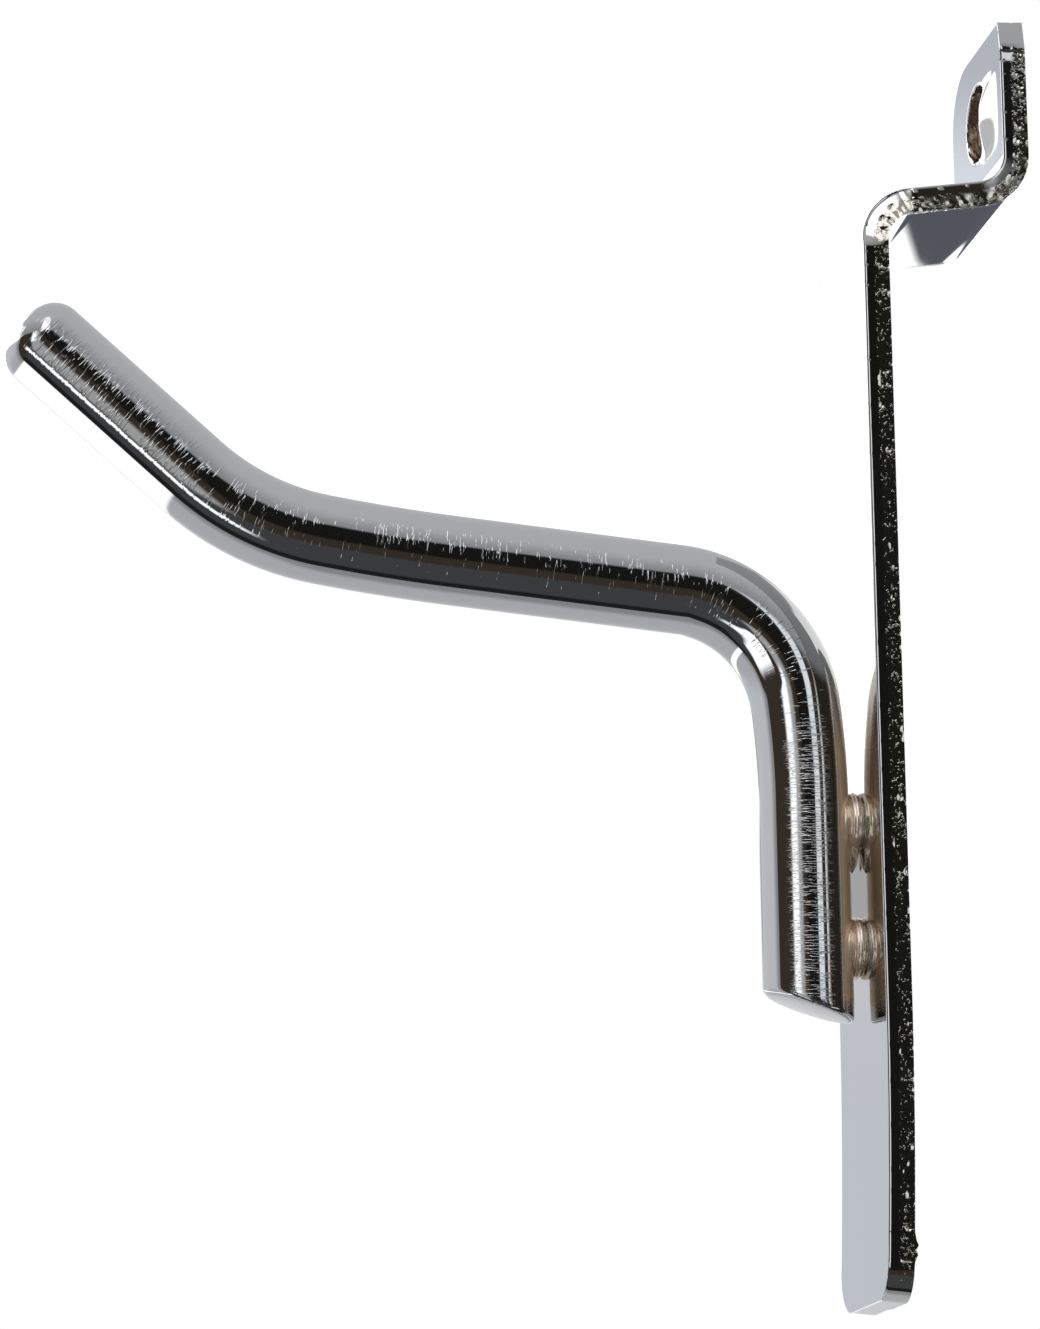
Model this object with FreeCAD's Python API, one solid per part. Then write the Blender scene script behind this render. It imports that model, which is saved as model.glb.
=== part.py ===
import FreeCAD, Part
import math
import os

# Slatwall hook: a folded steel back plate with a bent wire prong held to it by two projection welds.
# Frame: +Z up, the prong points to -Y, the panel is on the +Y side, the width runs along X.
# Origin: on the back face of the plate, mid width, at the middle of its flat length.
# Lengths are in millimetres and angles in degrees.

# Folded strip
STRIP_T = 1.75
STRIP_W = 13.0
BEND_IN_R = 2.1
LEDGE_RISE = 8.1
PANEL_GAP = 8.2
PLATE_FLAT = 50.4
TONGUE_FLAT = 9.7
FOOT_BOW_R = 430.0
FOOT_BOW_LEN = 20.5
FOOT_FAR_CORNER_R = 3.2
FOOT_NEAR_CORNER = (1.6, 2.3)
TOP_FAR_CORNER_R = 4.2
TOP_NEAR_CHAMFER = (0.5, 2.1)
SHEAR_ROLL_R = 0.2

# Hole in the tongue
HOLE_R = 2.6
HOLE_BELOW_TOP = 5.3
HOLE_ROLL_R = 0.35

# Wire
WIRE_R = 3.0
WIRE_PLATE_GAP = 0.62
WIRE_END_ABOVE_FOOT = 19.65
WIRE_END_SLANT = 18.5
WIRE_END_TILT = 5.0
WIRE_END_ROUND = 0.45
RISER_LEAD_R = 60.0
RISER_LEAD_ANGLE = 6.5
RISER_BEND_R = 8.72
PRONG_RISE = 5.6
PRONG_FLAT = 15.1
PRONG_LEAD_R = 134.0
TIP_START_ANGLE = 9.5
TIP_BEND_R = 17.2
TIP_ANGLE = 41.6
TIP_FLAT = 15.05
TIP_ROUND_R = 2.0
BEND_CENTRE_ABOVE_FOOT = 39.25

# Projection welds: height above the foot and size of each
WELDS = {"lower_weld": (23.6, 1.06), "upper_weld": (31.9, 0.98)}
WELD_NECK_R = 1.85
WELD_GROOVE_R = 1.65
WELD_GROOVE_DEPTH = 0.45
WELD_RING_R = 2.4
WELD_RING_DEPTH = 0.85
WELD_REACH_R = 1.7
WELD_REACH = 1.9
DIMPLE_R = 1.6
DIMPLE_DEPTH = 0.8

# Places that follow from the values above
STRIP_MID_R = BEND_IN_R + STRIP_T / 2
FOLD_ANGLE = 90.0 - LEDGE_RISE
FOLD_TAN = math.tan(math.radians(FOLD_ANGLE / 2))
LEDGE_FLAT = (
    (STRIP_T + PANEL_GAP) / math.cos(math.radians(LEDGE_RISE))
    - FOLD_TAN * (BEND_IN_R + STRIP_T)
    - FOLD_TAN * BEND_IN_R
)
FRONT_Y = -STRIP_T
MID_Y = -STRIP_T / 2
FOOT_Z = -(FOOT_BOW_LEN + PLATE_FLAT / 2)
WIRE_Y = FRONT_Y - WIRE_PLATE_GAP - WIRE_R


class Pen:
    """A point in the YZ plane with a heading, which draws lines and arcs of a path."""

    def __init__(self, y, z, heading):
        self.y = y
        self.z = z
        self.heading = heading
        self.states = [(y, z, heading)]
        self.turns = []

    def line(self, length):
        a = math.radians(self.heading)
        self.y += length * math.cos(a)
        self.z += length * math.sin(a)
        self.turns.append(0.0)
        self.states.append((self.y, self.z, self.heading))

    def arc(self, radius, angle):
        """Turn by an angle, positive to the left, around a circle of the given radius."""
        side = math.copysign(1.0, angle)
        a = math.radians(self.heading)
        centre_y = self.y - side * radius * math.sin(a)
        centre_z = self.z + side * radius * math.cos(a)
        self.heading += angle
        b = math.radians(self.heading)
        self.y = centre_y + side * radius * math.sin(b)
        self.z = centre_z - side * radius * math.cos(b)
        self.turns.append(side * radius)
        self.states.append((self.y, self.z, self.heading))

    def edges(self, offset=0.0):
        """Edges of the path moved to its left by the offset."""
        out = []
        for start, end, turn in zip(self.states, self.states[1:], self.turns):
            p = shifted(start, offset)
            q = shifted(end, offset)
            if turn == 0.0:
                out.append(Part.makeLine(p, q))
                continue
            y, z, heading = start
            half = (end[2] - heading) / 2
            a = math.radians(heading)
            centre = (y - turn * math.sin(a), z + turn * math.cos(a))
            b = math.radians(heading + half)
            middle = (centre[0] + turn * math.sin(b), centre[1] - turn * math.cos(b), heading + half)
            out.append(Part.Arc(p, shifted(middle, offset), q).toShape())
        return out


def shifted(state, offset):
    """Point of a path state, moved to the left of its heading."""
    y, z, heading = state
    a = math.radians(heading)
    return FreeCAD.Vector(0, y - offset * math.sin(a), z + offset * math.cos(a))


def strip_path():
    """Middle line of the folded strip, from the foot up to the top of the tongue."""
    bow = math.degrees(FOOT_BOW_LEN / FOOT_BOW_R)
    lean = FOOT_BOW_R * (1 - math.cos(math.radians(bow)))
    pen = Pen(MID_Y - lean, FOOT_Z, 90.0 - bow)
    pen.arc(FOOT_BOW_R, bow)
    pen.line(PLATE_FLAT)
    pen.arc(STRIP_MID_R, -FOLD_ANGLE)
    pen.line(LEDGE_FLAT)
    pen.arc(STRIP_MID_R, FOLD_ANGLE)
    pen.line(TONGUE_FLAT)
    return pen


def corner_cutter(y, z, up, side, across, along, rounded=True):
    """What is taken off one corner of the strip's end: outside a quarter of an ellipse, or of a chamfer's line."""
    x = side * STRIP_W / 2
    deep = 4 * STRIP_T
    spare = STRIP_T / 2
    corner = FreeCAD.Vector(x, y - deep / 2, z)
    out = FreeCAD.Vector(side, 0, 0)
    away = FreeCAD.Vector(0, 0, up)
    bow = 1 - math.sqrt(0.5)
    inner = corner - out * across
    lower = corner - away * along
    middle = corner - out * (across * bow) - away * (along * bow)
    cut = Part.makeLine(inner, lower)
    if rounded:
        curve = Part.BSplineCurve()
        curve.interpolate([inner, middle, lower], Tangents=[out * across, out * across - away * along, away * -along],
                          TangentFlags=[True, True, True])
        cut = curve.toShape()
    rim = [lower, lower + out * spare, corner + out * spare + away * spare, inner + away * spare, inner]
    sides = [Part.makeLine(p, q) for p, q in zip(rim, rim[1:])]
    return Part.Face(Part.Wire(sides + [cut])).extrude(FreeCAD.Vector(0, deep, 0))


def back_plate(path):
    """Folded strip with rounded end corners, the tongue's hole and the two pressed dimples."""
    left = path.edges(STRIP_T / 2)
    right = path.edges(-STRIP_T / 2)
    foot, top = path.states[0], path.states[-1]
    caps = [Part.makeLine(shifted(foot, -STRIP_T / 2), shifted(foot, STRIP_T / 2)),
            Part.makeLine(shifted(top, -STRIP_T / 2), shifted(top, STRIP_T / 2))]
    outline = Part.Wire(Part.__sortEdges__(left + right + caps))
    plate = Part.Face(outline).extrude(FreeCAD.Vector(STRIP_W, 0, 0))
    plate.translate(FreeCAD.Vector(-STRIP_W / 2, 0, 0))
    plate = plate.cut(corner_cutter(foot[0], foot[1], -1, 1, *FOOT_NEAR_CORNER))
    plate = plate.cut(corner_cutter(foot[0], foot[1], -1, -1, FOOT_FAR_CORNER_R, FOOT_FAR_CORNER_R))
    plate = plate.cut(corner_cutter(top[0], top[1], 1, 1, *TOP_NEAR_CHAMFER, rounded=False))
    plate = plate.cut(corner_cutter(top[0], top[1], 1, -1, TOP_FAR_CORNER_R, TOP_FAR_CORNER_R))
    plate = plate.removeSplitter()
    plate = plate.makeFillet(SHEAR_ROLL_R, front_rim(plate, path))
    hole_z = top[1] - HOLE_BELOW_TOP
    across = FreeCAD.Vector(0, 1, 0)
    front = top[0] - STRIP_T / 2
    plate = plate.cut(Part.makeCylinder(HOLE_R, 4 * STRIP_T, FreeCAD.Vector(0, front - STRIP_T, hole_z), across))
    plate = plate.cut(hole_lip(front, hole_z))
    ball_r = (DIMPLE_R ** 2 + DIMPLE_DEPTH ** 2) / (2 * DIMPLE_DEPTH)
    for height, _ in WELDS.values():
        centre = FreeCAD.Vector(0, ball_r - DIMPLE_DEPTH, FOOT_Z + height)
        plate = plate.cut(Part.makeSphere(ball_r, centre))
    return plate.Solids[0]


def front_rim(plate, path):
    """Edges of the plate which run round the side that faces the prong."""
    front = Part.Wire(Part.__sortEdges__(path.edges(STRIP_T / 2)))
    sweep = front.extrude(FreeCAD.Vector(2 * STRIP_W, 0, 0))
    sweep.translate(FreeCAD.Vector(-STRIP_W, 0, 0))
    rim = []
    for edge in plate.Edges:
        middle = edge.valueAt((edge.FirstParameter + edge.LastParameter) / 2)
        on_front = sweep.distToShape(Part.Vertex(middle))[0] < 0.001
        across = edge.BoundBox.XLength > STRIP_W / 2 and abs(middle.x) < STRIP_W / 4
        inside = min(abs(middle.z - path.states[0][1]), abs(middle.z - path.states[-1][1])) > STRIP_T
        if on_front and not (across and inside):
            rim.append(edge)
    return rim


def hole_lip(front, z):
    """Ring which rounds the front rim of the tongue's hole."""
    outer = HOLE_R + HOLE_ROLL_R
    square = Part.makeCylinder(outer, HOLE_ROLL_R, FreeCAD.Vector(0, front, z), FreeCAD.Vector(0, 1, 0))
    ring = Part.makeTorus(outer, HOLE_ROLL_R, FreeCAD.Vector(0, front + HOLE_ROLL_R, z), FreeCAD.Vector(0, 1, 0))
    return square.cut(ring)


def wire_path():
    """Middle line of the wire, from its lower end round to its tip."""
    lead = math.radians(RISER_LEAD_ANGLE)
    bend_z = FOOT_Z + BEND_CENTRE_ABOVE_FOOT
    lead_z = bend_z + RISER_BEND_R * math.sin(lead) - RISER_LEAD_R * math.sin(lead)
    low_z = FOOT_Z + WIRE_END_ABOVE_FOOT - 2 * WIRE_R
    pen = Pen(WIRE_Y, low_z, 90.0)
    pen.line(lead_z - low_z)
    pen.arc(RISER_LEAD_R, RISER_LEAD_ANGLE)
    pen.arc(RISER_BEND_R, 90.0 - RISER_LEAD_ANGLE - PRONG_RISE)
    pen.line(PRONG_FLAT)
    lead_turn = TIP_START_ANGLE - PRONG_RISE
    pen.arc(PRONG_LEAD_R, -lead_turn)
    pen.arc(TIP_BEND_R, TIP_START_ANGLE - TIP_ANGLE)
    pen.line(TIP_FLAT)
    return pen


def hook_rod():
    """Bent wire with a slanted, softened lower end and a blunt, well rounded tip."""
    pen = wire_path()
    spine = Part.Wire(pen.edges())
    start = pen.states[0]
    ring = Part.makeCircle(WIRE_R, FreeCAD.Vector(0, start[0], start[1]), FreeCAD.Vector(0, 0, 1))
    rod = spine.makePipeShell([Part.Wire([ring])], True, True)
    tip = min((e for e in rod.Edges if e.Length > WIRE_R), key=lambda e: e.CenterOfMass.y)
    rod = rod.makeFillet(TIP_ROUND_R, [tip])
    size = 8 * WIRE_R
    block = Part.makeBox(size, size, size, FreeCAD.Vector(-size / 2, -size / 2, -size))
    block.rotate(FreeCAD.Vector(0, 0, 0), FreeCAD.Vector(1, 0, 0), -WIRE_END_SLANT)
    block.rotate(FreeCAD.Vector(0, 0, 0), FreeCAD.Vector(0, 1, 0), WIRE_END_TILT)
    block.translate(FreeCAD.Vector(0, WIRE_Y, FOOT_Z + WIRE_END_ABOVE_FOOT))
    rod = rod.cut(block)
    low = min((e for e in rod.Edges if e.Length > WIRE_R), key=lambda e: e.CenterOfMass.z)
    return rod.makeFillet(WIRE_END_ROUND, [low]).Solids[0]


def weld(height, size, rod):
    """Squeezed weld between the plate and the wire: a short neck, a groove and a ring that hugs the wire."""
    z = FOOT_Z + height

    def at(radius, depth):
        return FreeCAD.Vector(radius * size, FRONT_Y - depth, z)

    groove = at(WELD_GROOVE_R, WELD_GROOVE_DEPTH)
    reach = at(WELD_REACH_R, WELD_REACH)
    ring = Part.Arc(groove, at(WELD_RING_R, WELD_RING_DEPTH), reach)
    edges = [Part.makeLine(at(0, 0), at(WELD_NECK_R, 0)), Part.makeLine(at(WELD_NECK_R, 0), groove),
             ring.toShape(), Part.makeLine(reach, at(0, WELD_REACH)), Part.makeLine(at(0, WELD_REACH), at(0, 0))]
    face = Part.Face(Part.Wire(edges))
    puddle = face.revolve(at(0, 0), FreeCAD.Vector(0, 1, 0), 360).cut(rod)
    return max(puddle.Solids, key=lambda s: s.Volume)


parts = {}
parts["hook_rod"] = hook_rod()
parts["back_plate"] = back_plate(strip_path())
for name, (height, size) in WELDS.items():
    parts[name] = weld(height, size, parts["hook_rod"])

os.makedirs("parts", exist_ok=True)
for name, shape in parts.items():
    box = shape.BoundBox
    print(name, shape.ShapeType, shape.isValid(), len(shape.Solids), round(shape.Volume, 1),
          [round(v, 2) for v in (box.XMin, box.XMax, box.YMin, box.YMax, box.ZMin, box.ZMax)])
    shape.exportStep("parts/" + name + ".step")
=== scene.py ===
import bpy
import math
from mathutils import Euler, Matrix, Quaternion, Vector, noise


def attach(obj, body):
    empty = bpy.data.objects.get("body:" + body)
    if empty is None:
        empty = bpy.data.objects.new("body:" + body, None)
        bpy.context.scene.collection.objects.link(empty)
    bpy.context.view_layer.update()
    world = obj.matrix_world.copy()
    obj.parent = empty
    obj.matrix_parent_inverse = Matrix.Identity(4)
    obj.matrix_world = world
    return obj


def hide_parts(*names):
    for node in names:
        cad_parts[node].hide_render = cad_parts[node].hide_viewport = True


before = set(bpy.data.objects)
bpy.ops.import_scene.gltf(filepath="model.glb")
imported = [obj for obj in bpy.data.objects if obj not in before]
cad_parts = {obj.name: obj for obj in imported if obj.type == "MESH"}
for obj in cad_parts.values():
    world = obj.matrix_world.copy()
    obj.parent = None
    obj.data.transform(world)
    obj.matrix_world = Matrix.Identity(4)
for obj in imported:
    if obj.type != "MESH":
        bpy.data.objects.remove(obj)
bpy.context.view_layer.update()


MM = 0.001

# The strip in millimetres and degrees, the same as in the part's source
STRIP_T = 1.75
STRIP_HALF_W = 6.5
BEND_IN_R = 2.1
LEDGE_RISE = 8.1
PANEL_GAP = 8.2
PLATE_FLAT = 50.4
TONGUE_FLAT = 9.7
FOOT_BOW_R = 430.0
FOOT_BOW_LEN = 20.5
FOOT_FAR_CORNER_R = 3.2
TOP_FAR_CORNER_R = 4.2
TOP_NEAR_CHAMFER = (0.5, 2.1)
HOLE_R = 2.6
HOLE_BELOW_TOP = 5.3
DIMPLE_R = 1.6
DIMPLE_DEPTH = 0.8

# The wire, the same as in the part's source but for the tip, 0.003 mm shorter to stay inside the CAD box
WIRE_R = 3.0
WIRE_PLATE_GAP = 0.62
WIRE_END_ABOVE_FOOT = 19.65
WIRE_END_SLANT = 18.5
WIRE_END_TILT = 5.0
WIRE_END_ROUND = 0.45
RISER_LEAD_R = 60.0
RISER_LEAD_ANGLE = 6.5
RISER_BEND_R = 8.72
PRONG_RISE = 5.6
PRONG_FLAT = 15.1
PRONG_LEAD_R = 134.0
TIP_START_ANGLE = 9.5
TIP_BEND_R = 17.2
TIP_ANGLE = 41.6
TIP_FLAT = 15.047
TIP_ROUND_R = 2.0
BEND_CENTRE_ABOVE_FOOT = 39.25

# Closer to the photo than in the part's source: the foot's near corner is wider, the sheared edge's front
# corner is sharper, and the hole's lip is smaller
FOOT_NEAR_CORNER = (2.1, 2.3)
SHEAR_ROLL_R = 0.12
HOLE_ROLL_R = 0.18

# Places that follow from the strip's sizes
STRIP_MID_R = BEND_IN_R + STRIP_T / 2
FOLD_ANGLE = 90.0 - LEDGE_RISE
FOLD_TAN = math.tan(math.radians(FOLD_ANGLE / 2))
FOLD_LEN = STRIP_MID_R * math.radians(FOLD_ANGLE)
LEDGE_FLAT = ((STRIP_T + PANEL_GAP) / math.cos(math.radians(LEDGE_RISE)) - FOLD_TAN * (BEND_IN_R + STRIP_T)
              - FOLD_TAN * BEND_IN_R)
LOW_FOLD_FROM = FOOT_BOW_LEN + PLATE_FLAT
HIGH_FOLD_FROM = LOW_FOLD_FROM + FOLD_LEN + LEDGE_FLAT
STRIP_LEN = HIGH_FOLD_FROM + FOLD_LEN + TONGUE_FLAT
HOLE_AT = STRIP_LEN - HOLE_BELOW_TOP
FOOT_Z = -(FOOT_BOW_LEN + PLATE_FLAT / 2)

# Places that follow from the wire's sizes, along the straight wire from its lower end
WIRE_Y = -STRIP_T - WIRE_PLATE_GAP - WIRE_R
WIRE_LOW_Z = FOOT_Z + WIRE_END_ABOVE_FOOT - 2 * WIRE_R
RISER_TURN = 90.0 - RISER_LEAD_ANGLE - PRONG_RISE
RISER_FLAT = (FOOT_Z + BEND_CENTRE_ABOVE_FOOT - WIRE_LOW_Z
              + (RISER_BEND_R - RISER_LEAD_R) * math.sin(math.radians(RISER_LEAD_ANGLE)))
WIRE_MOVES = ((RISER_FLAT, 0), (RISER_LEAD_R, RISER_LEAD_ANGLE), (RISER_BEND_R, RISER_TURN), (PRONG_FLAT, 0),
              (PRONG_LEAD_R, PRONG_RISE - TIP_START_ANGLE), (TIP_BEND_R, TIP_START_ANGLE - TIP_ANGLE),
              (TIP_FLAT, 0))
WIRE_LEN = sum(math.radians(abs(turn)) * size if turn else size for size, turn in WIRE_MOVES)
BEND_FROM = RISER_FLAT + RISER_LEAD_R * math.radians(RISER_LEAD_ANGLE)
BEND_LEN = RISER_BEND_R * math.radians(RISER_TURN)
TIP_FROM = WIRE_LEN - TIP_FLAT

# What the shear left: the smooth part's lean, the torn part's lean, how deep the tear starts and wanders, the
# nicks in the front corner, the torn part's sway, its grains' height, and the most that they stand back
BURNISH_DRAFT = 0.038
TORN_DRAFT = 0.055
TEAR_DEPTH = 0.74
TEAR_WANDER = 0.10
NICK_DEPTH = 0.018
TORN_SWAY = 0.013
GRAIN_HEIGHT = 0.12
GRAIN_MOST = 0.10
STEP_INSET = 0.06
STEP_DRAFT = 0.06

# What the folding and the punch left: how far the strip is drawn in at its lower fold, how little the edges
# lean on the ledge, how far the web beside the hole is pushed forward, how far the hole's torn part is wider,
# and how high the burr at the foot is
FOLD_DRAW = 0.30
LEDGE_LEAN_SHARE = 0.15
WEB_LIFT = 0.60
PUNCH_TEAR = (0.05, 0.16)
BURR_HEIGHT = 0.26

# What the bending tool left inside the riser's bend: a flat on each side, where and how wide round the wire
# in degrees, where it starts and fades out along the bend, and a crease near the bend's end
FLAT_SIDES = (52.0, -52.0)
FLAT_HALF = 13.0
FLAT_RISE = (0.5, 1.6)
FLAT_FADE = (8.1, 5.1)
CREASE_AT = -1.1
CREASE_DEPTH = 0.025
CREASE_W = 0.35

# The welds, 0.15 and 0.25 mm higher than in the part's source: height above the foot, depth of the flash that
# hangs below, (depth, radius) from the plate to the wire, and how much wider all of it is
WELDS = {"lower_weld": (23.75, 0.0), "upper_weld": (32.15, 1.25)}
WELD_PROFILE = ((-0.15, 1.66), (0.0, 1.80), (0.15, 1.91), (0.35, 1.96), (0.6, 1.89), (0.8, 1.75),
                (0.92, 1.62), (1.02, 1.70), (1.15, 1.80), (1.3, 1.76), (1.45, 1.58), (1.6, 1.2), (1.75, 0.55),
                (1.8, 0.05))
WELD_SWELL = 1.06


def linear(code):
    """An sRGB hex colour as linear RGBA."""
    out = []
    for i in (0, 2, 4):
        v = int(code[i:i + 2], 16) / 255
        out.append(v / 12.92 if v <= 0.04045 else ((v + 0.055) / 1.055) ** 2.4)
    return (*out, 1.0)


def cells(*sizes, unit=1.0):
    """How many cells of a pattern go to a unit each way, from the sizes of one cell in millimetres."""
    return tuple(1 / (size * unit) for size in sizes)


def smooth(value, low, high):
    """Smooth rise from nought to one as the value goes from low to high."""
    t = min(max((value - low) / (high - low), 0.0), 1.0)
    return t * t * (3 - 2 * t)


def ripple(x, y, z):
    """Smooth noise, from about -1 to 1."""
    return noise.noise(Vector((x, y, z)))


def middle_line(name, start, heading, moves):
    """The flat Bezier curve that straight stock is bent to.

    Each move is (length, 0) for a line, or (radius, turn in degrees) for an arc."""
    arcs = []
    for size, turn in moves:
        parts = math.ceil(abs(turn) / 45) if turn else 1
        arcs += [(size, turn / parts)] * parts
    data = bpy.data.curves.new(name, "CURVE")
    data.dimensions = "2D"
    data.resolution_u = 64
    spline = data.splines.new("BEZIER")
    spline.bezier_points.add(len(arcs))
    x, y = start
    before = 1.0
    for i in range(len(arcs) + 1):
        point = spline.bezier_points[i]
        point.handle_left_type = point.handle_right_type = "FREE"
        a = math.radians(heading)
        ahead = Vector((math.cos(a), math.sin(a), 0))
        point.co = (x, y, 0)
        point.handle_left = point.co - ahead * before
        if i == len(arcs):
            point.handle_right = point.co + ahead
            break
        size, turn = arcs[i]
        if turn == 0:
            reach = size / 3
            x, y = x + size * ahead.x, y + size * ahead.y
        else:
            side = math.copysign(1.0, turn)
            reach = 4 / 3 * math.tan(math.radians(abs(turn)) / 4) * size
            centre_x, centre_y = x - side * size * ahead.y, y + side * size * ahead.x
            heading += turn
            b = math.radians(heading)
            x, y = centre_x + side * size * math.sin(b), centre_y - side * size * math.cos(b)
        point.handle_right = point.co + ahead * reach
        before = reach
    line = bpy.data.objects.new(name, data)
    bpy.context.collection.objects.link(line)
    return line


def strip_line():
    """The strip's middle line, from the foot up to the top of the tongue."""
    bow = math.degrees(FOOT_BOW_LEN / FOOT_BOW_R)
    lean = FOOT_BOW_R * (1 - math.cos(math.radians(bow)))
    moves = ((FOOT_BOW_R, bow), (PLATE_FLAT, 0), (STRIP_MID_R, -FOLD_ANGLE), (LEDGE_FLAT, 0),
             (STRIP_MID_R, FOLD_ANGLE), (TONGUE_FLAT, 0))
    return middle_line("strip_line", (-STRIP_T / 2 - lean, FOOT_Z), 90.0 - bow, moves)


def wire_line():
    """The wire's middle line, from the riser's lower end to the tip."""
    return middle_line("wire_line", (WIRE_Y, WIRE_LOW_Z), 90.0, WIRE_MOVES)


def only(obj):
    """Makes an object the only one selected, and active."""
    bpy.ops.object.select_all(action="DESELECT")
    obj.select_set(True)
    bpy.context.view_layer.objects.active = obj


def pick(obj, kind, test):
    """In edit mode, selects the vertices, edges or faces of an object that pass a test."""
    bpy.ops.mesh.select_mode(type=kind)
    bpy.ops.mesh.select_all(action="DESELECT")
    bpy.ops.object.mode_set(mode="OBJECT")
    mesh = obj.data
    items = {"VERT": mesh.vertices, "EDGE": mesh.edges, "FACE": mesh.polygons}[kind]
    for item in items:
        item.select = test(mesh, item)
    bpy.ops.object.mode_set(mode="EDIT")


def divide_along(obj, axis, least, cuts):
    """In edit mode, divides the edges that run along an axis for more than a length."""
    def runs_along(mesh, edge):
        a, b = (mesh.vertices[i].co for i in edge.vertices)
        return abs(a[axis] - b[axis]) > least

    pick(obj, "EDGE", runs_along)
    bpy.ops.mesh.subdivide(number_cuts=cuts)


def keep_flat_place(obj):
    """Keeps each point's place in the straight stock, in millimetres, for the surface patterns."""
    layer = obj.data.attributes.new("stock", "FLOAT_VECTOR", "POINT")
    flat = [0.0] * (3 * len(obj.data.vertices))
    obj.data.vertices.foreach_get("co", flat)
    layer.data.foreach_set("vector", flat)


def bend(obj, line):
    """Bends straight stock along a middle line, and stands it up: its length becomes Z, its width X."""
    only(obj)
    curved = obj.modifiers.new("bend", "CURVE")
    curved.object = line
    curved.deform_axis = "POS_X"
    bpy.ops.object.modifier_apply(modifier="bend")
    bpy.data.objects.remove(line)
    obj.rotation_euler = (math.pi / 2, 0, math.pi / 2)
    obj.scale = (MM, MM, MM)
    bpy.ops.object.transform_apply(location=False, rotation=True, scale=True)


def corner_depth(across, shape, reach, rounded=True):
    """How far an end's corner stands back, at a distance inside the strip's side edge."""
    if across >= shape:
        return 0.0
    if rounded:
        return reach * (1 - math.sqrt(max(0.0, 1 - (1 - across / shape) ** 2)))
    return reach * (1 - across / shape)


def at_low_fold(along):
    """One in the lower fold, where the folding draws the metal in, and nought elsewhere."""
    into = smooth(along, LOW_FOLD_FROM - 0.4, LOW_FOLD_FROM + 0.8)
    return into * smooth(along, LOW_FOLD_FROM + FOLD_LEN + 0.3, LOW_FOLD_FROM + FOLD_LEN - 0.5)


def torn_grains(along, depth, seed, fold):
    """How far the torn part's grains stand back: lumps of half a millimetre and grains of a quarter."""
    sway = TORN_SWAY * ripple(along * 1.1, depth * 1.1, seed)
    lumps = ripple(along * 2.0, depth * 2.6, seed + 5)
    fine = ripple(along * 4.2, depth * 4.2, seed + 11)
    patchy = smooth(ripple(along * 0.45, seed, 9.0), -0.10, 0.35)
    low = 0.36 - 0.10 * patchy - 0.22 * fold
    grain = max(0.0, lumps - low) * GRAIN_HEIGHT + max(0.0, fine - low - 0.06) * GRAIN_HEIGHT
    return sway + min(grain, GRAIN_MOST)


def edge_inset(along, depth, near):
    """How far the sheared edge stands back at a place along the strip and a depth below its front face:
    rolled over, then burnished smooth, then torn, as shear blades leave it."""
    seed = 0.0 if near else 40.0
    roll = SHEAR_ROLL_R
    inset = roll - math.sqrt(max(0.0, roll ** 2 - (roll - depth) ** 2)) if depth < roll else 0.0
    tear = TEAR_DEPTH + TEAR_WANDER * ripple(along * 0.45, seed, 0.0)
    lean = max(0.0, tear - depth) * BURNISH_DRAFT + (STRIP_T - max(depth, tear)) * TORN_DRAFT
    on_ledge = (smooth(along, LOW_FOLD_FROM + 0.6 * FOLD_LEN, LOW_FOLD_FROM + FOLD_LEN)
                * smooth(along, HIGH_FOLD_FROM + FOLD_LEN, HIGH_FOLD_FROM))
    inset += lean * smooth(depth, 0.0, roll) * (1 - (1 - LEDGE_LEAN_SHARE) * on_ledge)
    fold = at_low_fold(along)
    inset += fold * FOLD_DRAW * (1 - depth / STRIP_T)
    if depth < 2 * roll:
        inset += NICK_DEPTH * smooth(ripple(along * 2.1, seed, 21.0), 0.25, 0.40)
    torn = smooth(depth, tear - 0.02, tear + 0.10)
    if torn > 0:
        inset += torn * torn_grains(along, depth, seed, fold)
    return max(inset, 0.0)


def slab_end(across_place, top):
    """How far an end of the strip stands back at a place across its width."""
    near = across_place > 0
    inside = STRIP_HALF_W - abs(across_place)
    if top and near:
        return corner_depth(inside, *TOP_NEAR_CHAMFER, rounded=False)
    if top:
        return corner_depth(inside, TOP_FAR_CORNER_R, TOP_FAR_CORNER_R)
    if near:
        return corner_depth(inside, *FOOT_NEAR_CORNER)
    return corner_depth(inside, FOOT_FAR_CORNER_R, FOOT_FAR_CORNER_R)


def top_facets(below, depth):
    """The small facet that the shear left under the tongue's chamfered corner, and the step at its foot."""
    facet = smooth(below, 0.20, 0.30) * smooth(below, 1.40, 1.30) * smooth(depth, 1.65, 1.50)
    return facet * (STEP_INSET + STEP_DRAFT * depth)


def web_lift(along, across):
    """How far the narrow web beside the punched hole is pushed forward."""
    rise = smooth(across, 0.4, HOLE_R + 0.1) * smooth(across, STRIP_HALF_W - 1.1, HOLE_R + 0.3)
    return WEB_LIFT * rise * smooth(abs(along - HOLE_AT + 0.5), 3.1, 0.3)


def hole_lip(along, across):
    """How far the front face is rolled in at the hole's rim."""
    ring = math.hypot(along - HOLE_AT, across)
    if ring >= HOLE_R + HOLE_ROLL_R:
        return 0.0
    return HOLE_ROLL_R - math.sqrt(max(0.0, HOLE_ROLL_R ** 2 - (HOLE_R + HOLE_ROLL_R - ring) ** 2))


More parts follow.
